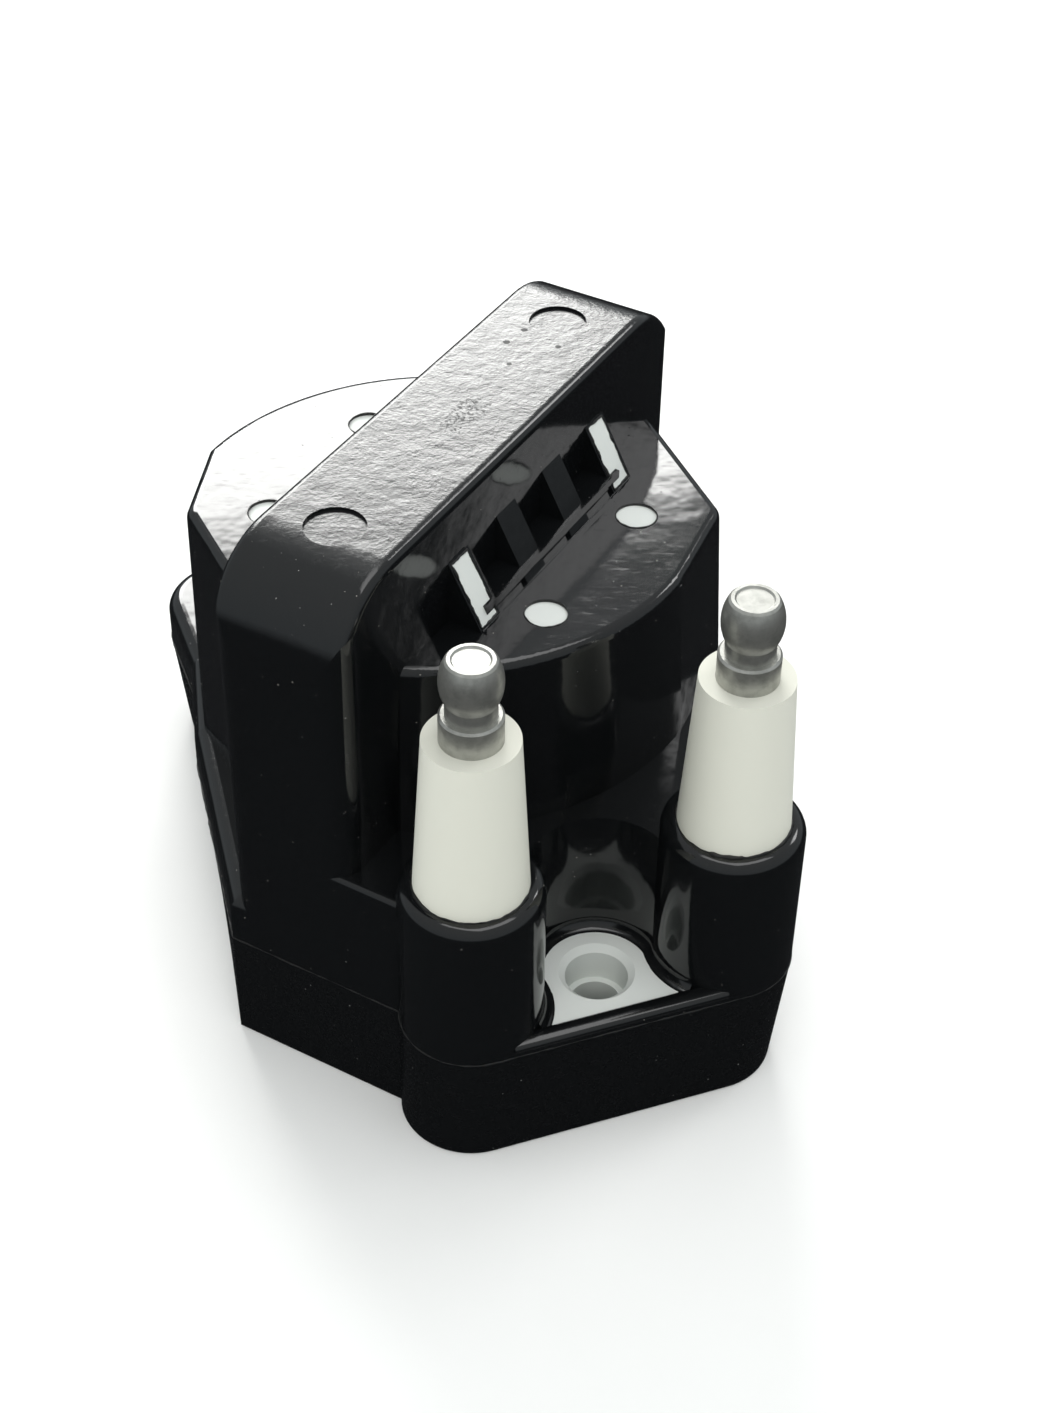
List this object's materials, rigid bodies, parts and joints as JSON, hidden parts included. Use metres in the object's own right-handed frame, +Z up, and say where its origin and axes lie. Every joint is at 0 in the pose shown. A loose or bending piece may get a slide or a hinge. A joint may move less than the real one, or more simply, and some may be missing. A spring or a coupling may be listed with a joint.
{
  "type": "ignition coil",
  "caption": "Twin-tower ignition coil: black moulded housing with a slanting core hump, off-white high-tension towers with ball-ended posts, and screw wells front and back.",
  "frame": {"origin": "centre of the core hump on the base's flat bottom face", "axes": "+X along the row of the two towers to the right, +Y to the back, +Z up"},
  "size_m": [0.0698, 0.0948, 0.0717],
  "materials": {
    "black_housing": "glossy moulded black with fine scuffs",
    "white_moulding": "satin white moulding",
    "tower_insulation": "matte off-white thermoset",
    "post_metal": "satin turned metal",
    "tinned_wire": "tinned copper wire",
    "laminated_steel": "stamped laminations",
    "insulation_film": "amber film",
    "bobbin_plastic": "natural glass-filled plastic",
    "enamelled_wire": "enamelled copper winding",
    "potting": "cured potting resin",
    "socket_brass": "folded brass"
  },
  "bodies": {
    "root": {"upper_housing": "black_housing", "lower_housing": "black_housing", "coil_case": "white_moulding", "case_cover": "white_moulding", "front_mount_ear": "white_moulding", "rear_mount_ear": "white_moulding", "left_tower": "tower_insulation", "right_tower": "tower_insulation", "left_terminal_post": "post_metal", "right_terminal_post": "post_metal", "left_hv_lead": "tinned_wire", "right_hv_lead": "tinned_wire", "e_core": "laminated_steel", "i_core": "laminated_steel", "core_gap_shims": "insulation_film", "primary_bobbin": "bobbin_plastic", "primary_winding": "enamelled_wire", "primary_tape": "insulation_film", "secondary_bobbin": "bobbin_plastic", "secondary_winding": "enamelled_wire", "potting_resin": "potting", "left_primary_socket": "socket_brass", "right_primary_socket": "socket_brass", "left_primary_lead": "tinned_wire", "right_primary_lead": "tinned_wire"}
  },
  "joints": []
}
